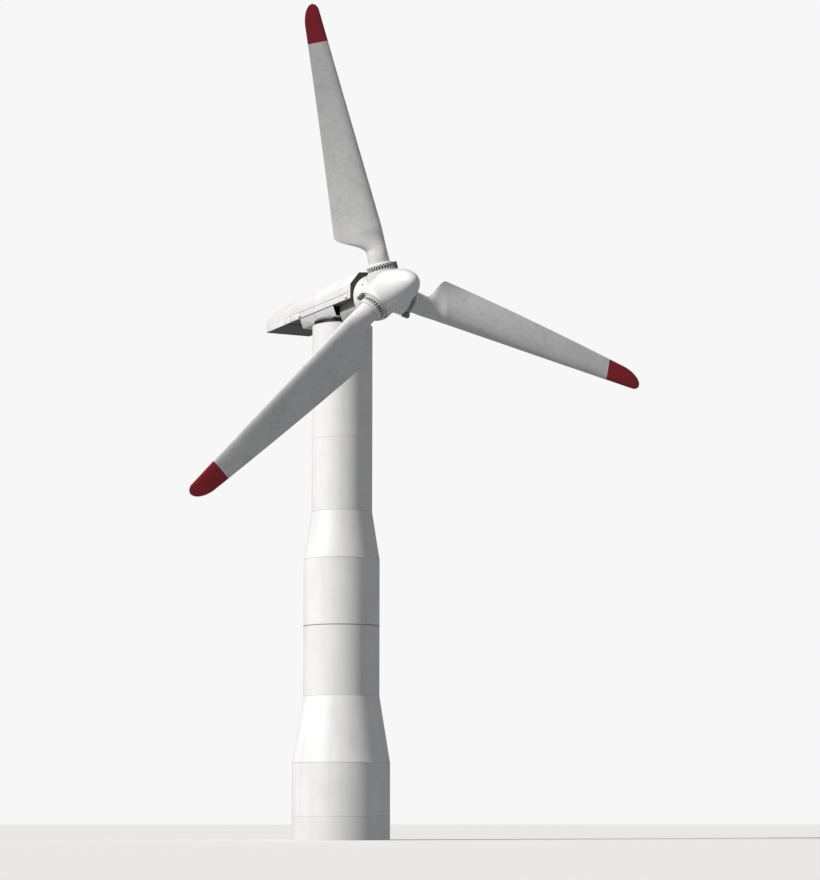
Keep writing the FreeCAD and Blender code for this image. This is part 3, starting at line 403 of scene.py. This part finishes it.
def finish_cad_node(name, piece):
    """Rounds a CAD node's sharp edges and shades its curved faces smooth."""
    for face in piece.data.polygons:
        face.use_smooth = True
    weld = piece.modifiers.new("weld", "WELD")
    weld.merge_threshold = WELD_DISTANCE
    if name in BEVELS:
        rounding = piece.modifiers.new("rounding", "BEVEL")
        rounding.width = BEVELS[name]
        rounding.segments = 3
        rounding.limit_method = "ANGLE"
        rounding.angle_limit = SMOOTH_ANGLE
        rounding.harden_normals = False
    split_edges(piece, SMOOTH_ANGLE)
    material = MATERIALS[SLOT_OF[name]]
    if name in TOWER_TONES:
        tone = TOWER_GREY * TOWER_TONES[name]
        material = tower_paint(f"paint of {name}", (tone, tone, tone))
    for material_slot in piece.material_slots:
        material_slot.material = material


for node_name, node_piece in NODES.items():
    finish_cad_node(node_name, node_piece)

# ---------------------------------------------------------------- blades

SWELL_STEPS, TAPER_STEPS = 28, 30
TAPER_SPACING = 1.2          # over 1, so that the sections lie closest at the shoulder
TIP_STEP = 3                 # degrees of the tip's rounding from section to section
BLADE_EDGE_ANGLE = math.radians(50)
# (offset along the span from where the red paint starts, height over the skin)
PAINT_EDGE_PROFILE = ((-0.016, 0.0003), (-0.014, 0.0012), (0.002, 0.0012), (0.004, 0.0003))


def ease(part):
    """0 to 1 with a level start and end."""
    part = min(1.0, max(0.0, part))
    return part * part * (3 - 2 * part)


def straight_chord(span):
    """The chord of the straight taper, before the tip is rounded."""
    slope = (LARGEST_CHORD - PAINT_CHORD) / (PAINT_SPAN - SHOULDER_SPAN)
    return LARGEST_CHORD - slope * (span - SHOULDER_SPAN)


def end_rounding(span, length):
    """0 before the rounded end, 1 at the very tip, along a quarter ellipse."""
    part = max(0.0, (span - ROTOR_RADIUS + length) / length)
    return 1 - math.sqrt(max(0.0, 1 - part ** 2))


def leading_edge(span):
    """Distance of the leading edge ahead of the pitch axis."""
    swell = ease((span - COLLAR_TOP) / (SHOULDER_SPAN - COLLAR_TOP))
    if span < SHOULDER_SPAN:
        return NECK_RADIUS + (EDGE_LEAD - NECK_RADIUS) * swell
    beyond = (span - SHOULDER_SPAN) / (ROTOR_RADIUS - SHOULDER_SPAN)
    taken = FRONT_SHARE * end_rounding(span, TIP_FRONT_LENGTH) * straight_chord(span)
    return EDGE_LEAD - EDGE_SWEEP * beyond - taken


def chord(span):
    """Round neck, quick swell to the shoulder, straight taper, rounded tip."""
    neck = 2 * NECK_RADIUS
    if span < SHOULDER_SPAN:
        part = (span - SWELL_SPAN) / (SHOULDER_SPAN - SWELL_SPAN)
        return neck + (LARGEST_CHORD - neck) * ease(part)
    taken = (FRONT_SHARE * end_rounding(span, TIP_FRONT_LENGTH)
             + (1 - FRONT_SHARE) * end_rounding(span, TIP_BACK_LENGTH))
    return straight_chord(span) * (1 - taken)


def blade_section(span, count=72):
    """A circle at the neck that turns into a cambered, twisted aerofoil."""
    width = chord(span)
    form = ease((span - COLLAR_TOP - ROUND_LENGTH) / (SHOULDER_SPAN - COLLAR_TOP - ROUND_LENGTH))
    slim = min(1.0, max(0.0, (span - SHOULDER_SPAN) / (ROTOR_RADIUS - SHOULDER_SPAN)))
    share = ROOT_THICKNESS - THINNING * slim ** THINNING_POWER
    thickness = (1 - form) * 2 * NECK_RADIUS + form * share * width
    twist = math.radians(ROOT_TWIST * form * (1 - slim) ** TWIST_POWER)
    front = leading_edge(span)
    foil_part = FOIL_SHARE * form
    ring = []
    for index in range(count):
        angle = 2 * math.pi * (index + 0.5) / count
        along = (1 - math.cos(angle)) / 2
        side = 1 if math.sin(angle) >= 0 else -1
        # half the thickness of a four-digit aerofoil
        foil = 5 * (0.2969 * math.sqrt(along) - 0.126 * along - 0.3516 * along ** 2
                    + 0.2843 * along ** 3 - 0.1015 * along ** 4)
        oval = abs(math.sin(angle)) / 2
        depth = side * thickness * ((1 - foil_part) * oval + foil_part * foil)
        x = front - along * width
        y = depth + form * CAMBER * width * along * (1 - along)
        ring.append(Vector((x * math.cos(twist) + y * math.sin(twist),
                            y * math.cos(twist) - x * math.sin(twist), span)))
    return ring


def blade_skins(number):
    """The shell and the red tip, each closed, in place of the plain CAD solids."""
    place = blade_matrix(number)
    swell = [COLLAR_TOP + (SHOULDER_SPAN - COLLAR_TOP) * part / SWELL_STEPS
             for part in range(SWELL_STEPS)]
    taper = [SHOULDER_SPAN + (PAINT_SPAN - SHOULDER_SPAN) * (part / TAPER_STEPS) ** TAPER_SPACING
             for part in range(TAPER_STEPS + 1)]
    end = [PAINT_SPAN] + [ROTOR_RADIUS - TIP_BACK_LENGTH * (1 - math.sin(math.radians(angle)))
                          for angle in range(0, 90, TIP_STEP)]
    for suffix, spans, slot in (("shell", swell + taper, "blade_gelcoat"),
                                ("tip", end, "tip_red_paint")):
        vertices, faces = skin_rings([blade_section(span) for span in spans])
        piece = new_piece(f"blade_{number}_{suffix}_skin", vertices, faces, place)
        flatten_caps(piece)
        split_edges(piece, BLADE_EDGE_ANGLE)
        dress(piece, f"blade_{number}", MATERIALS[slot])
        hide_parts(f"blade_{number}_{suffix}")


def paint_edge(number):
    """The thin pale line that parts the red tip from the grey shell."""
    rings = []
    for offset, proud in PAINT_EDGE_PROFILE:
        section = blade_section(PAINT_SPAN + offset)
        middle = sum(section, Vector()) / len(section)
        rings.append([point + (point - middle).normalized() * proud for point in section])
    line = new_piece(f"blade_{number}_paint_edge", *skin_rings(rings), blade_matrix(number))
    flatten_caps(line)
    dress(line, f"blade_{number}", EDGE_MATERIAL)


for blade_number in (1, 2, 3):
    blade_skins(blade_number)
    paint_edge(blade_number)

# ---------------------------------------------------------------- spinner beads

def spinner_radius_at(distance):
    """The spinner's outer radius: an elliptic nose, and a flank that flares to the rear."""
    if distance >= NOSE_START:
        length = HUB_DISTANCE + NOSE_LENGTH - NOSE_START
        return SPINNER_RADIUS * math.sqrt(max(0.0, 1 - ((distance - NOSE_START) / length) ** 2))
    back = (NOSE_START - distance) / (NOSE_START - SPINNER_REAR)
    return SPINNER_RADIUS + (SPINNER_REAR_RADIUS - SPINNER_RADIUS) * back ** 2


def opening_edge(number, radius, steps=96):
    """Where a cylinder about the blade's axis meets the spinner's surface."""
    place = blade_matrix(number)
    points = []
    for step in range(steps):
        angle = 2 * math.pi * step / steps
        across, forward = radius * math.cos(angle), radius * math.sin(angle)
        surface = spinner_radius_at(HUB_DISTANCE + forward)
        outward = math.sqrt(max(0.0001, surface ** 2 - across ** 2))
        # the blade's frame has +Y downwind, so forward is -Y
        points.append(place @ Vector((across, -forward, outward)))
    return points


for blade_number in (1, 2, 3):
    bead_shape = tube_along(opening_edge(blade_number, COLLAR_RING_RADIUS), BEAD_RADIUS)
    bead = new_piece(f"spinner_bead_{blade_number}", *bead_shape)
    dress(bead, "rotor", MATERIALS["spinner_gelcoat"])

# ---------------------------------------------------------------- small round heads

HEAD_CORE = 0.0004           # a head's profile stops this short of its axis
ROLLED_SHARE = 0.3           # the rolled edge's size, as a share of the head's smaller size


def round_heads(name, places, body, radius, height):
    """Low round heads with a rolled edge, one on each placement."""
    edge = min(radius, height) * ROLLED_SHARE
    roll = edge * ROLLED_SHARE
    profile = [(HEAD_CORE, 0.0), (radius, 0.0), (radius, height - edge),
               (radius - roll, height - roll), (radius - edge, height), (HEAD_CORE, height)]
    vertices, faces = [], []
    for place in places:
        head, head_faces = lathe(profile, 24)
        start = len(vertices)
        vertices += [place @ Vector(point) for point in head]
        faces += [tuple(start + index for index in face) for face in head_faces]
    piece = new_piece(name, vertices, faces)
    return dress(piece, body, MATERIALS["dark_bolts"])


# ---------------------------------------------------------------- spinner screw washers

# each screw's distance along the shaft line, its bearing in degrees, its seat's radius
SPINNER_SCREWS = ((2.650, 295, 0.619), (3.550, 175, 0.576), (2.650, 55, 0.619))
WASHER_RADIUS, WASHER_HEIGHT = 0.033, 0.003

seats = []
for distance, bearing, seat_radius in SPINNER_SCREWS:
    angle = math.radians(bearing)
    outward = RIGHT * math.sin(angle) + UP * math.cos(angle)
    seats.append(frame_matrix(SHAFT_ORIGIN + AXIS * distance + outward * seat_radius,
                              AXIS.cross(outward), AXIS, outward))
round_heads("spinner_screw_washers", seats, "rotor", WASHER_RADIUS, WASHER_HEIGHT)

# ---------------------------------------------------------------- blade roots

GROOVE_RADIUS = 0.340
GROOVE_LOW, GROOVE_HIGH = 0.651, 0.749
SLEEVE_THICKNESS, SLEEVE_FEATHER = 0.002, 0.0003
BARREL_COUNT, BARREL_LEVEL, COLLAR_RADIUS = 28, 0.775, 0.400
CAP_RADIUS, CAP_HEIGHT = 0.0165, 0.0078


def groove_shade_sleeve(number):
    """A near-black skin at the bottom of the stud groove: painted shade of the recess."""
    inner, outer = GROOVE_RADIUS + SLEEVE_FEATHER, GROOVE_RADIUS + SLEEVE_THICKNESS
    profile = [(inner, GROOVE_LOW), (outer, GROOVE_LOW + SLEEVE_THICKNESS),
               (outer, GROOVE_HIGH - SLEEVE_THICKNESS), (inner, GROOVE_HIGH)]
    sleeve = new_piece(f"groove_shade_sleeve_{number}", *lathe(profile, 96), blade_matrix(number))
    dress(sleeve, f"blade_{number}", GROOVE_SHADE_MATERIAL)


def barrel_caps(number):
    """Dark caps on the barrel nuts round the collar."""
    places = []
    for index in range(BARREL_COUNT):
        angle = 2 * math.pi * index / BARREL_COUNT
        outward = Vector((math.cos(angle), math.sin(angle), 0))
        sideways = Vector((-math.sin(angle), math.cos(angle), 0))
        places.append(blade_matrix(number) @ frame_matrix(
            outward * COLLAR_RADIUS + Vector((0, 0, BARREL_LEVEL)),
            sideways, Vector((0, 0, 1)), outward))
    round_heads(f"barrel_caps_{number}", places, f"blade_{number}", CAP_RADIUS, CAP_HEIGHT)


for blade_number in (1, 2, 3):
    groove_shade_sleeve(blade_number)
    barrel_caps(blade_number)

# ---------------------------------------------------------------- nacelle screws

SCREW_LEVEL = 15.706
FLAP_SCREW_Y, BAND_SCREW_Y = -1.40, 1.88
SCREW_RADIUS, SCREW_HEIGHT = 0.013, 0.007
SIDES = (("left", -1), ("right", 1))


def on_side(side, y, z):
    """A placement on the nacelle's side whose Z points outwards."""
    outward = Vector((side, 0, 0))
    return frame_matrix(Vector((side * HALF_WIDTH, y, z)), Vector((0, side, 0)),
                        Vector((0, 0, 1)), outward)


for side_name, side in SIDES:
    round_heads(f"flap_screw_{side_name}", [on_side(side, FLAP_SCREW_Y, SCREW_LEVEL)],
                f"side_flap_{side_name}", SCREW_RADIUS, SCREW_HEIGHT)
round_heads("band_screws", [on_side(side, BAND_SCREW_Y, SCREW_LEVEL) for side in (-1, 1)],
            "nacelle", SCREW_RADIUS, SCREW_HEIGHT)

# ---------------------------------------------------------------- nacelle seals

GROOVE_FLOOR, SEAL_TOP = 0.742, 0.7455   # distances out from the nacelle's middle
SEAL_END_GAP = 0.002
SPLITS = (("wide", 2.184, 2.202), ("narrow", 2.6615, 2.6685))
NARROW_DRAW_IN = 0.004                   # the tail narrows a little behind the wide split
TAIL_SEAM_HALF = 0.715
TAIL_SEAM_Y, TAIL_SEAM_WIDTH = 2.400, 0.140
TAIL_SEAM_DROP, TAIL_SEAM_SUNK = 0.004, 0.001


def seal_strip(name, low, high):
    """A soft strip that fills the box between two corners, its edges rounded."""
    centre, half = (Vector(low) + Vector(high)) / 2, (Vector(high) - Vector(low)) / 2
    corners = [centre + Vector((x * half.x, y * half.y, z * half.z))
               for z in (-1, 1) for x, y in ((-1, -1), (1, -1), (1, 1), (-1, 1))]
    faces = [(3, 2, 1, 0), (4, 5, 6, 7), (0, 1, 5, 4), (1, 2, 6, 5), (2, 3, 7, 6), (3, 0, 4, 7)]
    strip = new_piece(name, corners, faces)
    rounding = strip.modifiers.new("rounding", "BEVEL")
    rounding.width = min(half) * 0.6
    rounding.segments = 2
    split_edges(strip, SMOOTH_ANGLE)
    return dress(strip, "nacelle", SEAL_MATERIAL)


for side_name, side in SIDES:
    inner, outer = sorted((side * GROOVE_FLOOR, side * SEAL_TOP))
    for split_name, split_front, split_rear in SPLITS:
        draw_in = side * NARROW_DRAW_IN if split_name == "narrow" else 0.0
        seal_strip(f"{split_name}_split_seal_{side_name}",
                   (inner - draw_in, split_front, BAND_LOW + SEAL_END_GAP),
                   (outer - draw_in, split_rear, BAND_TOP - SEAL_END_GAP))
seal_strip("tail_floor_seam",
           (-TAIL_SEAM_HALF, TAIL_SEAM_Y, FLOOR_UNDERSIDE - TAIL_SEAM_DROP),
           (TAIL_SEAM_HALF, TAIL_SEAM_Y + TAIL_SEAM_WIDTH, FLOOR_UNDERSIDE + TAIL_SEAM_SUNK))

# ---------------------------------------------------------------- tower seams

# each seam is named after the can or cone below it, and has a height
BOLTED_CAN = "tower_middle_can_low"
SEAMS = [("tower_base_can", 0.012), ("tower_lower_can", 0.014), ("tower_lower_cone", 0.014),
         (BOLTED_CAN, 0.030), ("tower_middle_can_high", 0.014),
         ("tower_upper_cone", 0.016), ("tower_top_can_low", 0.008),
         ("tower_top_can_middle", 0.008)]
TOP_RADIUS, MIDDLE_RADIUS = 0.900, 1.125
# a cone is narrower at its top than its box
SEAM_RADII = {"tower_lower_cone": MIDDLE_RADIUS, "tower_upper_cone": TOP_RADIUS}
SEAM_SUNK = SEAM_PROUD = 0.004
SEAM_SHOULDER = 0.6          # how proud a bead's edges are, as a share of its middle


def seam_bead(name, level, radius, height):
    """A narrow sealed seam round the tower, very slightly proud."""
    half = height / 2
    root, shoulder = radius - SEAM_SUNK, radius + SEAM_PROUD * SEAM_SHOULDER
    profile = [(root, level - half), (shoulder, level - half), (radius + SEAM_PROUD, level),
               (shoulder, level + half), (root, level + half)]
    bead = new_piece(name, *lathe(profile, 192))
    tone = JOINT_MATERIAL if name.endswith(BOLTED_CAN) else SEAM_MATERIAL
    return dress(bead, "tower", tone)


for can, seam_height in SEAMS:
    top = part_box(can)[1].z
    reach = SEAM_RADII.get(can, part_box(can)[1].x)
    seam_bead(f"seam_over_{can}", top, reach, seam_height)

# ---------------------------------------------------------------- camera

CAMERA_PLACE = Vector((-33.144, -72.573, 0.521))
CAMERA_TURN = math.radians(26)
CAMERA_PITCH = math.radians(8.053)
FOCAL_LENGTH, SENSOR_WIDTH = 110.4545, 36
FARTHEST_SEEN = 1000

camera_data = bpy.data.cameras.new("camera")
camera_data.lens = FOCAL_LENGTH
camera_data.sensor_width = SENSOR_WIDTH
camera_data.clip_end = FARTHEST_SEEN
camera = bpy.data.objects.new("camera", camera_data)
bpy.context.scene.collection.objects.link(camera)
camera.location = CAMERA_PLACE
camera.rotation_euler = (math.pi / 2 + CAMERA_PITCH, 0, -CAMERA_TURN)
bpy.context.scene.camera = camera

# ---------------------------------------------------------------- sun

SUN_STRENGTH, SUN_COLOUR = 3.6, (1.0, 0.985, 0.96)
SUN_WIDTH = math.radians(7)              # the wider it is, the softer the shadows
SUN_TURN = math.radians(-57)             # from the camera's direction, towards the left of the view
SUN_HEIGHT = math.radians(38)

sun_data = bpy.data.lights.new("key", "SUN")
sun_data.energy = SUN_STRENGTH
sun_data.angle = SUN_WIDTH
sun_data.color = SUN_COLOUR
sun = bpy.data.objects.new("key", sun_data)
bpy.context.scene.collection.objects.link(sun)
to_camera = Vector((-math.sin(CAMERA_TURN), -math.cos(CAMERA_TURN), 0))
sun_azimuth = Matrix.Rotation(SUN_TURN, 3, "Z") @ to_camera
sun_direction = sun_azimuth * math.cos(SUN_HEIGHT) + Vector((0, 0, math.sin(SUN_HEIGHT)))
sun.rotation_euler = sun_direction.to_track_quat("Z", "Y").to_euler()

# ---------------------------------------------------------------- sky light and backdrop

SKY_STRENGTH, SKY_COLOUR = 0.25, (0.97, 0.98, 1.0)
BACKDROP_GREY = 0.93

world = bpy.data.worlds.new("studio")
bpy.context.scene.world = world
world.use_nodes = True
sky_graph = world.node_tree
sky = sky_graph.nodes["Background"]
sky.inputs["Color"].default_value = as_colour(SKY_COLOUR)
sky.inputs["Strength"].default_value = SKY_STRENGTH
backdrop = sky_graph.nodes.new("ShaderNodeBackground")
backdrop.inputs["Color"].default_value = as_colour(BACKDROP_GREY)
# the camera sees the backdrop, and everything else is lit by the sky
seen = sky_graph.nodes.new("ShaderNodeLightPath")
choice = sky_graph.nodes.new("ShaderNodeMixShader")
output = sky_graph.nodes["World Output"]
sky_graph.links.new(seen.outputs["Is Camera Ray"], choice.inputs[0])
sky_graph.links.new(sky.outputs[0], choice.inputs[1])
sky_graph.links.new(backdrop.outputs[0], choice.inputs[2])
sky_graph.links.new(choice.outputs[0], output.inputs["Surface"])

bpy.context.scene.view_settings.view_transform = "Standard"

# ---------------------------------------------------------------- floor

FLOOR_HALF, FLOOR_LEVEL = 450.0, -0.002
FLOOR_ROUGHNESS = 0.8

floor_corners = [(x * FLOOR_HALF, y * FLOOR_HALF, FLOOR_LEVEL)
                 for x, y in ((-1, -1), (1, -1), (1, 1), (-1, 1))]
floor = new_piece("studio_floor", floor_corners, [(0, 1, 2, 3)], smooth=False)
floor_material, floor_graph, floor_shader, floor_place = node_graph("studio floor")
floor_cloud = noise(floor_graph, floor_place, 0.02, 3)
floor_tone = ramp(floor_graph, floor_cloud, 0.90, 0.92, start=0.3, end=0.7)
floor_graph.links.new(floor_tone, floor_shader.inputs["Base Color"])
floor_shader.inputs["Roughness"].default_value = FLOOR_ROUGHNESS
floor.data.materials.append(floor_material)
# bounced rays pass through the floor, so that it doesn't light the turbine from below
floor.visible_diffuse = False
floor.visible_glossy = False
